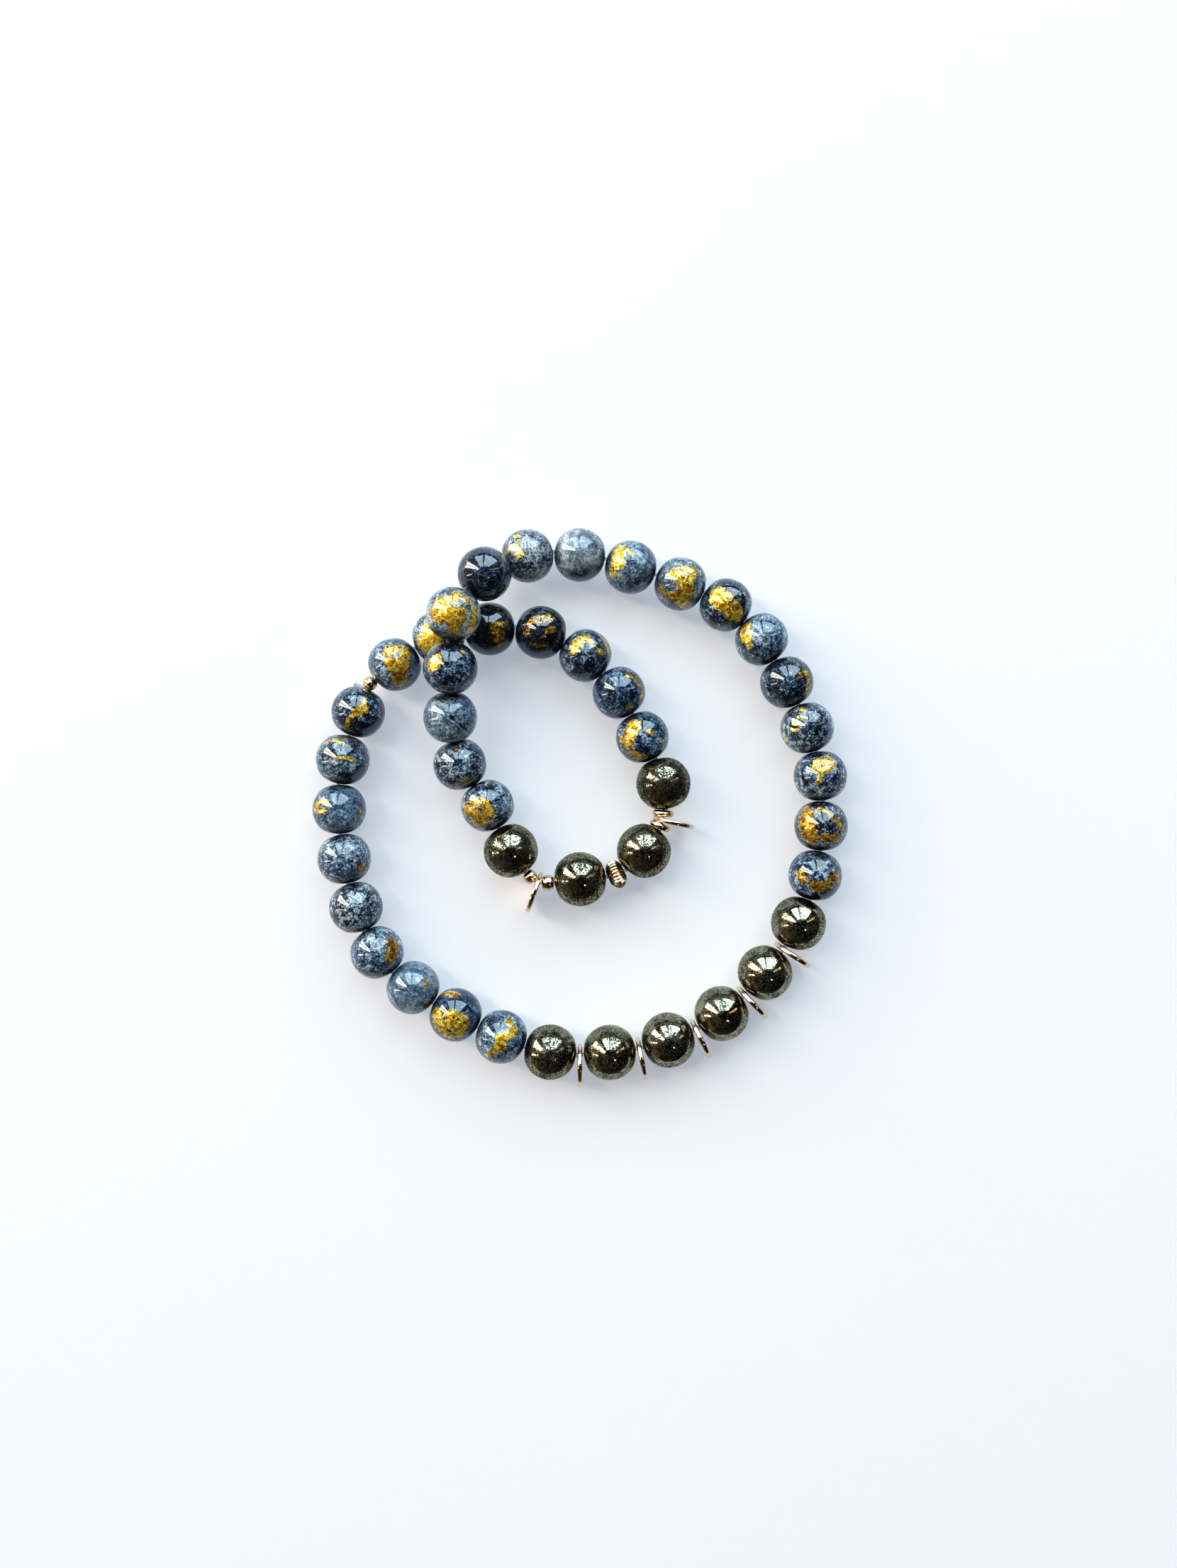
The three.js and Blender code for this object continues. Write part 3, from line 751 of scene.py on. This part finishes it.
def make_marbled_stone():
    """Blue-grey stone: slow clouds, millimetre mottling, fine grain, and dark and pale flecks."""
    group, given = new_group(
        "marbled stone",
        {
            "Place": (0.0, 0.0, 0.0),
            "Paleness": 0.5,
            "Mottling": 0.5,
            "Greyness": 0.3,
            "Flecks": 0.4,
            "Shade": 0.0,
            "Inclusion": 0.0,
        },
        {"Colour": "Color", "Height": "Float"},
    )
    place = given["Place"]
    clouds = swinging(group, place, 3.2, 2.0)
    mottling = swinging(group, place, 0.95, 5.0, 0.66, 0.6)
    grain = swinging(group, place, 0.30, 3.0, 0.65)
    tone = calc(group, "MULTIPLY", clouds, 1.9)
    tone = calc(group, "MULTIPLY_ADD", mottling, 5.0, tone)
    tone = calc(group, "MULTIPLY", tone, calc(group, "ADD", given["Mottling"], 0.12))
    graininess = calc(group, "MULTIPLY_ADD", given["Flecks"], 3.6, 0.6)
    tone = calc(group, "MULTIPLY_ADD", grain, graininess, tone)
    tone = calc(group, "ADD", tone, given["Paleness"])
    tone = calc(group, "MULTIPLY_ADD", given["Shade"], -0.4, tone, clamp=True)
    blue = colour_scale(group, tone, BLUE_STONE)
    grey = colour_scale(group, tone, GREY_STONE)
    colour = blend_colours(group, given["Greyness"], blue, grey)

    threshold = calc(group, "MULTIPLY_ADD", given["Flecks"], -0.14, 0.68)
    dark_spots = past(group, blotches(group, place, 0.36, 2.0, 0.5), threshold, 0.035)
    colour = cover_with(group, colour, dark_spots, 0.8, STONE_DARK_FLECK)
    elsewhere = vector_calc(group, "ADD", place, (17.0, 5.0, 11.0))
    threshold = calc(group, "MULTIPLY_ADD", given["Flecks"], -0.08, 0.71)
    pale_spots = past(group, blotches(group, elsewhere, 0.42, 2.0, 0.5), threshold, 0.04)
    colour = cover_with(group, colour, pale_spots, 0.45, STONE_PALE_FLECK)
    colour = blend_colours(group, given["Inclusion"], colour, STONE_INCLUSION)
    sunk = calc(group, "MULTIPLY", calc(group, "MAXIMUM", dark_spots, given["Inclusion"]), -0.4)
    return finish_group(group, {"Colour": colour, "Height": sunk})


def make_gold_leaf():
    """Leaf pressed on in ragged patches: torn at the edges, crinkled, browned in places and darker
    along its folds.
    """
    group, given = new_group(
        "gold leaf",
        {"Place": (0.0, 0.0, 0.0), "Inside": -9.0, "Torn": -9.0, "Browned": 0.4, "Ragged": 1.0},
        {"Cover": "Float", "Colour": "Color", "Roughness": "Float", "Height": "Float"},
    )
    place = given["Place"]
    tattered = swinging(group, place, 0.7, 6.0, 0.72, 0.5)
    pinholes = ramp_to(group, blotches(group, place, 0.34, 3.0, 0.6), 0.58, 0.70)
    edge = calc(group, "MINIMUM", given["Inside"], calc(group, "MULTIPLY", given["Torn"], -1.0))
    edge = calc(group, "ADD", calc(group, "MINIMUM", edge, 0.12), 0.02)
    ragged = calc(group, "MULTIPLY_ADD", tattered, 0.42, calc(group, "MULTIPLY", pinholes, -0.13))
    edge = calc(group, "MULTIPLY_ADD", ragged, given["Ragged"], edge)
    cover = ramp_to(group, edge, -0.004, 0.018)
    strewn = calc(group, "MULTIPLY_ADD", given["Inside"], 0.7, blotches(group, place, 0.26, 2.0))
    strewn = calc(group, "MULTIPLY", ramp_to(group, strewn, 0.60, 0.64), 0.75)
    cover = calc(group, "MAXIMUM", cover, strewn)

    crinkle = blotches(group, place, 0.60, 4.0, 0.62, 0.8)
    foil = blotches(group, place, 0.20, 2.0, 0.6)
    folds = calc(group, "ABSOLUTE", swinging(group, place, 0.55, 3.0, 0.6, 1.4))
    folds = ramp_to(group, folds, 0.045, 0.0)
    warmth = calc(group, "MULTIPLY_ADD", crinkle, 2.6, -1.00)
    warmth = calc(group, "MULTIPLY_ADD", foil, 0.9, warmth)
    # Darker along the folds.
    warmth = calc(group, "MULTIPLY_ADD", folds, -0.40, warmth)
    warmth = calc(group, "MULTIPLY_ADD", given["Browned"], -0.50, warmth, clamp=True)
    colour = colour_scale(group, warmth, GOLD_LEAF)
    roughness = calc(group, "MULTIPLY_ADD", foil, 0.25, 0.26)
    height = calc(group, "MULTIPLY_ADD", crinkle, 1.0, calc(group, "MULTIPLY", foil, 0.7))
    height = calc(group, "MULTIPLY_ADD", folds, -0.6, height)
    return finish_group(
        group, {"Cover": cover, "Colour": colour, "Roughness": roughness, "Height": height}
    )


def make_pitted_polish():
    """Polished pyrite: a dull gold-grey mirror, cloudy in places and pricked with dark pits."""
    group, given = new_group(
        "pitted polish",
        {"Place": (0.0, 0.0, 0.0), "Pitting": 0.5},
        {"Colour": "Color", "Metal": "Float", "Roughness": "Float", "Height": "Float"},
    )
    place = given["Place"]
    crowding = blotches(group, place, 2.4, 2.0)
    cells = put(group, "ShaderNodeTexVoronoi", {"Vector": place, "Scale": 3.2}, feature="F1")
    spread = put(group, "ShaderNodeSeparateColor", {"Color": cells.outputs["Color"]})
    size = calc(group, "MULTIPLY", spread.outputs[0], 0.42)
    size = calc(group, "MULTIPLY_ADD", crowding, 0.55, calc(group, "SUBTRACT", size, 0.50))
    size = calc(group, "MULTIPLY_ADD", given["Pitting"], 0.30, size)
    pits = ramp_to(group, calc(group, "SUBTRACT", cells.outputs["Distance"], size), 0.06, -0.02)
    specks = blotches(group, place, 0.26, 3.0, 0.62)
    limit = calc(group, "MULTIPLY_ADD", crowding, -0.34, 0.72)
    limit = calc(group, "MULTIPLY_ADD", given["Pitting"], -0.10, limit)
    specks = ramp_to(group, calc(group, "SUBTRACT", specks, limit), -0.01, 0.05)
    holes = calc(group, "MAXIMUM", pits, specks)
    clouds = blotches(group, place, 1.1, 5.0, 0.70)
    tone = calc(group, "MULTIPLY_ADD", given["Pitting"], -0.20, calc(group, "ADD", clouds, 0.09))
    metal = colour_scale(group, tone, PYRITE)
    flecks = ramp_to(group, blotches(group, place, 0.30, 4.0, 0.68), 0.49, 0.56)
    metal = cover_with(group, metal, flecks, 0.8, PYRITE_FLECK)
    colour = cover_with(group, metal, holes, 0.9, PYRITE_PIT)
    bare = ramp_to(group, holes, 0.80, 1.0, 1.0, 0.05)
    roughness = calc(group, "MULTIPLY_ADD", clouds, 0.05, -0.010)
    roughness = calc(group, "MULTIPLY_ADD", holes, 0.12, roughness)
    height = calc(group, "MULTIPLY", holes, -1.0)
    return finish_group(
        group, {"Colour": colour, "Metal": bare, "Roughness": roughness, "Height": height}
    )


def make_handled_plate():
    """Worn plated metal: hairline scuffs, a faint waver and a warmer tint in places."""
    group, given = new_group(
        "handled plate",
        {"Place": (0.0, 0.0, 0.0), "Scuffs": 0.4},
        {"Tint": "Float", "Roughness": "Float", "Height": "Float"},
    )
    place = given["Place"]
    waver = blotches(group, place, 0.9, 2.0)
    stretched = vector_calc(group, "MULTIPLY", place, (1.0, 1.0, 9.0))
    hairlines = ramp_to(group, blotches(group, stretched, 0.35, 3.0, 0.7), 0.52, 0.70)
    tint = calc(group, "MULTIPLY_ADD", blotches(group, place, 0.6, 3.0), 1.2, -0.1, clamp=True)
    scuffs = calc(group, "MULTIPLY", hairlines, given["Scuffs"])
    roughness = calc(group, "MULTIPLY_ADD", waver, 0.06, 0.07)
    roughness = calc(group, "MULTIPLY_ADD", scuffs, 0.16, roughness)
    height = calc(group, "MULTIPLY_ADD", hairlines, -0.10, waver)
    return finish_group(group, {"Tint": tint, "Roughness": roughness, "Height": height})


# ---------------------------------------------------------------- materials


def start_material(name, middle):
    """A new material, its shader, and the place of a surface point in millimetres from middle."""
    material = bpy.data.materials.new(name)
    material.use_nodes = True
    tree = material.node_tree
    tree.nodes.clear()
    shader = put(tree, "ShaderNodeBsdfPrincipled")
    put(tree, "ShaderNodeOutputMaterial", {"Surface": shader.outputs[0]})
    where = put(tree, "ShaderNodeTexCoord").outputs["Object"]
    mapping = put(
        tree,
        "ShaderNodeMapping",
        {"Vector": where, "Location": -middle / MM, "Scale": (1 / MM, 1 / MM, 1 / MM)},
    )
    return material, tree, shader, mapping.outputs["Vector"]


def use_group(tree, group, sockets):
    return put(tree, "ShaderNodeGroup", sockets, node_tree=group).outputs


def bumped(tree, height, depth_mm):
    node = put(tree, "ShaderNodeBump", {"Height": height, "Distance": depth_mm * MM})
    return node.outputs["Normal"]


def own_patch(chance):
    """A random shift, in millimetres, that gives each bead a patch of the noise to itself."""
    return tuple(chance.uniform(-40, 40) for _ in range(3))


def strokes_inside(tree, group, facing, strokes):
    """Chains the strokes of one kind and returns how far inside them a point lies."""
    inside = None
    for start, end, half_width in strokes:
        sockets = {"Facing": facing, "Start": start, "End": end, "Half Width": half_width}
        if inside is not None:
            sockets["Before"] = inside
        inside = use_group(tree, group, sockets)["Inside"]
    return inside


def charted(strokes, middle):
    """Turns strokes drawn on the side that faces the camera into directions from the middle."""
    turn = UP.rotation_difference((EYE - middle).normalized())

    def on_ball(x, y):
        return turn @ Vector((x, y, math.sqrt(max(0.0, 1 - x * x - y * y))))

    return [(on_ball(x, y), on_ball(u, v), width) for x, y, u, v, width in strokes]


def underside_strokes(chance):
    """A few made-up patches of leaf on the half of a bead that lies on the table."""
    strokes = []
    for _ in range(chance.choice((1, 2, 2, 3))):
        turn = chance.uniform(0, 2 * math.pi)
        rise = chance.uniform(-0.95, -0.25)
        level = math.sqrt(1 - rise * rise)
        start = Vector((math.cos(turn) * level, math.sin(turn) * level, rise))
        shift = Vector([chance.uniform(-0.5, 0.5) for _ in range(3)])
        strokes.append((start, (start + shift).normalized(), chance.uniform(0.12, 0.30)))
    return strokes


def painted_contact_shade(tree, facing, bore):
    """How near a point on a bead is to either end of its drilled hole, where its neighbours touch
    it: the mask of painted shade between neighbouring beads.
    """
    along = vector_calc(tree, "DOT_PRODUCT", facing, tuple(bore), result="Value")
    return ramp_to(tree, calc(tree, "ABSOLUTE", along), 0.64, 0.93)


def leaf_stone(name, middle, bore, look, seed, groups):
    """Polished marbled stone with gold leaf under a clear glossy coat."""
    chance = random.Random(seed)
    material, tree, shader, place = start_material(name, middle)
    facing = vector_calc(tree, "NORMALIZE", place)
    grain = vector_calc(tree, "ADD", place, own_patch(chance))

    def inside(strokes):
        return strokes_inside(tree, groups["stroke"], facing, strokes)

    sockets = {
        "Place": grain,
        "Paleness": look["pale"],
        "Mottling": look["mottled"],
        "Greyness": look["grey"],
        "Flecks": look["flecks"],
    }
    if look["shade"]:
        sockets["Shade"] = ramp_to(tree, inside(charted(look["shade"], middle)), -0.25, 0.2)
    if look["dark"]:
        ragged = swinging(tree, grain, 0.5, 4.0, 0.7)
        dark = calc(tree, "MULTIPLY_ADD", ragged, 0.16, inside(charted(look["dark"], middle)))
        sockets["Inclusion"] = ramp_to(tree, dark, -0.01, 0.02)
    stone = use_group(tree, groups["stone"], sockets)

    if look["leaf"]:
        strokes = charted(look["leaf"], middle) + underside_strokes(chance)
        sockets = {
            "Place": grain,
            "Inside": inside(strokes),
            "Browned": look["worn"],
            "Ragged": look["ragged"],
        }
        if look["torn"]:
            sockets["Torn"] = inside(charted(look["torn"], middle))
        leaf = use_group(tree, groups["leaf"], sockets)
        cover = leaf["Cover"]
        colour = blend_colours(tree, cover, stone["Colour"], leaf["Colour"])
        rougher = calc(tree, "SUBTRACT", leaf["Roughness"], STONE_ROUGHNESS)
        rougher = calc(tree, "MULTIPLY", cover, rougher)
        height = calc(tree, "MULTIPLY", cover, leaf["Height"])
        plug(tree, shader, {
            "Metallic": calc(tree, "MULTIPLY", cover, 0.65),
            "Roughness": calc(tree, "ADD", rougher, STONE_ROUGHNESS),
            "Normal": bumped(tree, calc(tree, "ADD", height, stone["Height"]), 0.03),
        })
    else:
        colour = stone["Colour"]
        plug(tree, shader, {
            "Roughness": STONE_ROUGHNESS,
            "Normal": bumped(tree, stone["Height"], 0.02),
        })
    # Painted shade: darkens the stone towards both ends of its bore, where neighbouring beads touch
    # it.
    contact_shade = painted_contact_shade(tree, facing, bore)
    plug(tree, shader, {
        "Base Color": cover_with(tree, colour, contact_shade, 0.85, STONE_CONTACT_SHADE),
        "Specular IOR Level": 0.03,
        "Coat Weight": 1.0,
        "Coat Roughness": 0.015,
        "Coat IOR": 1.54,
    })
    return material


def pyrite(name, middle, bore, seed, pitting, groups):
    """Polished pyrite, a dark metallic stone."""
    material, tree, shader, place = start_material(name, middle)
    grain = vector_calc(tree, "ADD", place, own_patch(random.Random(seed)))
    polish = use_group(tree, groups["pyrite"], {"Place": grain, "Pitting": pitting})
    # Painted shade: darkens the pyrite towards both ends of its bore, where neighbouring beads
    # touch it.
    contact_shade = painted_contact_shade(tree, vector_calc(tree, "NORMALIZE", place), bore)
    plug(tree, shader, {
        "Base Color": cover_with(tree, polish["Colour"], contact_shade, 0.9, PYRITE_CONTACT_SHADE),
        "Metallic": polish["Metal"],
        "Specular IOR Level": 0.0,
        "Specular Tint": PYRITE_GLANCE,
        "Roughness": polish["Roughness"],
        "Normal": bumped(tree, polish["Height"], 0.002),
    })
    return material


def gold_plate(name, middle, colours, glance, groups):
    """Plated metal. Glance is the tint of what it mirrors at a grazing angle."""
    material, tree, shader, place = start_material(name, middle)
    plate = use_group(tree, groups["plate"], {"Place": place, "Scuffs": 0.4})
    plug(tree, shader, {
        "Base Color": blend_colours(tree, plate["Tint"], *colours),
        "Metallic": 1.0,
        "Specular Tint": glance,
        "Roughness": plate["Roughness"],
        "Normal": bumped(tree, plate["Height"], 0.02),
    })
    return material


def clear_elastic(groups):
    material, tree, shader, place = start_material("clear_elastic", Vector((0, 0, 0)))
    plate = use_group(tree, groups["plate"], {"Place": place, "Scuffs": 0.8})
    plug(tree, shader, {
        "Base Color": blend_colours(tree, plate["Tint"], *ELASTIC),
        "Roughness": calc(tree, "ADD", plate["Roughness"], 0.08),
        "Transmission Weight": 0.8,
        "IOR": 1.45,
        "Normal": bumped(tree, plate["Height"], 0.01),
    })
    return material


# ---------------------------------------------------------------- the pieces


def shape_of(kind, ends):
    """The shape of one kind of piece. Ends are how far a big bead's reach from its middle."""
    if kind == "coin_charm":
        return flat_coin()
    if kind == "saucer_bead":
        return ribbed_saucer()
    if kind in ("stone_bead", "pyrite_bead"):
        return big_bead(SIZES[kind]["across"], *ends)
    return small_bead(**SIZES[kind])


def sideways(kind, bore):
    """The way that a piece's own X axis points. A coin's leads from its hole to its centre."""
    if kind != "coin_charm":
        return outwards_from(bore)
    to_centre = (outwards_from(bore) * COIN_REACH - UP * COIN["drop"]).normalized()
    return (to_centre - bore * to_centre.dot(bore)).normalized()


def finish_of(node, place, bore, seed, groups):
    """The material of one piece, and the slot that it stands for."""
    kind, number = node.rsplit("_", 1)
    if kind == "stone_bead":
        look = STONE_BEADS[int(number) - 1]
        return leaf_stone(f"leaf_stone_{number}", place, bore, look, seed, groups), "leaf_stone"
    if kind == "pyrite_bead":
        pitting = PITTING[int(number) - 1]
        return pyrite(f"pyrite_{number}", place, bore, seed, pitting, groups), "pyrite"
    colours = YELLOW_GOLD if node == "round_bead_01" else ROSE_GOLD
    glance = COIN_GLANCE if kind == "coin_charm" else SMALL_GOLD_GLANCE
    return gold_plate(f"gold_plate_{kind}_{number}", place, colours, glance, groups), "gold_metal"


def make_pieces():
    places, bores = lay_out_string()
    groups = {
        "stroke": make_brush_stroke(),
        "stone": make_marbled_stone(),
        "leaf": make_gold_leaf(),
        "pyrite": make_pitted_polish(),
        "plate": make_handled_plate(),
    }
    kinds = {node: node.rsplit("_", 1)[0] for node in STRUNG}
    lengths = {node: SIZES[kinds[node]]["length"] for node in STRUNG}
    for i, node in enumerate(STRUNG):
        bore, place = bores[node], places[node]
        ends = [
            lengths[node] / 2 + spare_room(places, lengths, node, other)
            for other in (STRUNG[i - 1], STRUNG[(i + 1) % len(STRUNG)])
        ]
        shape = shape_of(kinds[node], ends)
        lie = frame_of(sideways(kinds[node], bore), bore, place)
        material, slot = finish_of(node, place, bore, i + 1, groups)
        hand_over(shape, lie, f"finished_{node}", node, material)
    hand_over(
        elastic_loop(places, bores, lengths),
        Matrix.Scale(MM, 4),
        "finished_elastic_cord",
        "elastic_cord",
        clear_elastic(groups),
    )


# ---------------------------------------------------------------- table, light and camera


COOL, WARM, YELLOW = (0.62, 0.86, 1.0), (1.0, 0.93, 0.80), (1.0, 0.85, 0.55)
LAMP = Vector((0.40, -0.43, 1.0))

# Each lit pane: its name, the azimuth of its wall in degrees, its left, right, bottom and top in
# metres, its colour, its glow and its shine.
PANES = [
    ("window_right", 90, 0.05, 1.05, 0.27, 2.3, COOL, 4.2, 9.0),
    ("window_middle", 90, -0.60, -0.08, 0.29, 2.5, COOL, 4.2, 9.0),
    ("side_window_near", 152, 0.02, 0.17, 0.05, 2.3, WARM, 12.0, 21.0),
    ("side_window_far", 152, -0.15, -0.02, 0.05, 2.3, WARM, 12.0, 21.0),
    ("door_gap", 187, -0.04, 0.04, 0.16, 0.80, WARM, 8.0, 12.0),
    ("lit_wall", 20, -0.07, 0.07, 0.38, 1.8, YELLOW, 1.2, 2.5),
]


def make_table():
    """A pale matt table top. It glows faintly, for the light that a white room would add, and is
    dimmer in mirror images, so that the polished pieces keep their dark sides."""
    shape = bmesh.new()
    bmesh.ops.create_grid(shape, x_segments=1, y_segments=1, size=2.0)
    bmesh.ops.translate(shape, verts=shape.verts[:], vec=(0, 0, -0.02 * MM))
    mesh = bpy.data.meshes.new("table")
    shape.to_mesh(mesh)
    shape.free()
    material, tree, shader, place = start_material("pale_table", Vector((0, 0, 0)))
    colour = blend_colours(tree, blotches(tree, place, 60.0, 2.0), *TABLE_TOP)
    mirrored = put(tree, "ShaderNodeLightPath").outputs["Is Glossy Ray"]
    plug(tree, shader, {
        "Base Color": blend_colours(tree, mirrored, colour, MIRRORED_TABLE_TOP),
        "Roughness": 0.7,
        "Specular IOR Level": 0.2,
        "Emission Color": blend_colours(tree, mirrored, TABLE_GLOW, MIRRORED_TABLE_GLOW),
        "Emission Strength": 1.0,
    })
    mesh.materials.append(material)
    table = bpy.data.objects.new("table", mesh)
    bpy.context.scene.collection.objects.link(table)


def hang_light(name, shape, size, place, aim, colour, glow, shine):
    """A flat light, made as two. Glow is the radiance that lights the pieces and the table, and
    shine the radiance of its mirror image in them. The one that shines stands a little nearer,
    because two lights in one place hide each other."""
    for use, radiance, distance in (("glow", glow, 1), ("shine", shine, 0.99)):
        data = bpy.data.lights.new(f"{name}_{use}", "AREA")
        data.shape = shape
        data.size, data.size_y = size
        data.color = colour
        face = size[0] * size[1] * (math.pi / 4 if shape == "ELLIPSE" else 1)
        data.energy = radiance * math.pi * face
        light = bpy.data.objects.new(data.name, data)
        light.location = place * distance
        light.rotation_euler = aim.to_track_quat("-Z", "Y").to_euler()
        light.visible_camera = False
        light.visible_diffuse = use == "glow"
        light.visible_glossy = use == "shine"
        bpy.context.scene.collection.objects.link(light)


def hang_pane(name, azimuth, left, right, bottom, top, colour, glow, shine):
    """An upright pane on a wall one metre from the middle, in the direction azimuth. Left and
    right are metres along the wall as seen from the middle; bottom and top are heights."""
    towards = Vector((math.cos(math.radians(azimuth)), math.sin(math.radians(azimuth)), 0))
    rightwards = towards.cross(UP)
    place = towards + rightwards * (left + right) / 2 + UP * (bottom + top) / 2
    size = (right - left, top - bottom)
    hang_light(name, "RECTANGLE", size, place, -towards, colour, glow, shine)


def light_the_room():
    for pane in PANES:
        hang_pane(*pane)
    hang_light("ceiling_lamp", "ELLIPSE", (0.09, 0.09), LAMP, -LAMP, WARM, 8.0, 14.0)

    world = bpy.data.worlds.new("dim_room")
    world.use_nodes = True
    tree = world.node_tree
    tree.nodes.clear()
    where = put(tree, "ShaderNodeTexCoord").outputs["Generated"]
    westwards = vector_calc(tree, "DOT_PRODUCT", where, (-0.9, -0.2, -0.3), result="Value")
    patches = calc(tree, "MULTIPLY_ADD", westwards, 0.30, blotches(tree, where, 0.25, 4.0, 0.6))
    room = colour_scale(tree, patches, DIM_ROOM)
    path = put(tree, "ShaderNodeLightPath").outputs
    colour = blend_colours(tree, path["Is Camera Ray"], room, WHITE_ROOM)
    background = put(tree, "ShaderNodeBackground", {"Color": colour})
    put(tree, "ShaderNodeOutputWorld", {"Surface": background.outputs[0]})
    bpy.context.scene.world = world


def stand_camera():
    data = bpy.data.cameras.new("overhead_camera")
    data.lens = LENS_MM
    data.sensor_width = SENSOR_MM
    data.clip_start, data.clip_end = 0.01, 10.0
    camera = bpy.data.objects.new("overhead_camera", data)
    camera.location = EYE
    camera.rotation_euler.z = CAMERA_ROLL
    bpy.context.scene.collection.objects.link(camera)
    bpy.context.scene.camera = camera
    bpy.context.scene.view_settings.view_transform = "Standard"


make_pieces()
make_table()
light_the_room()
stand_camera()
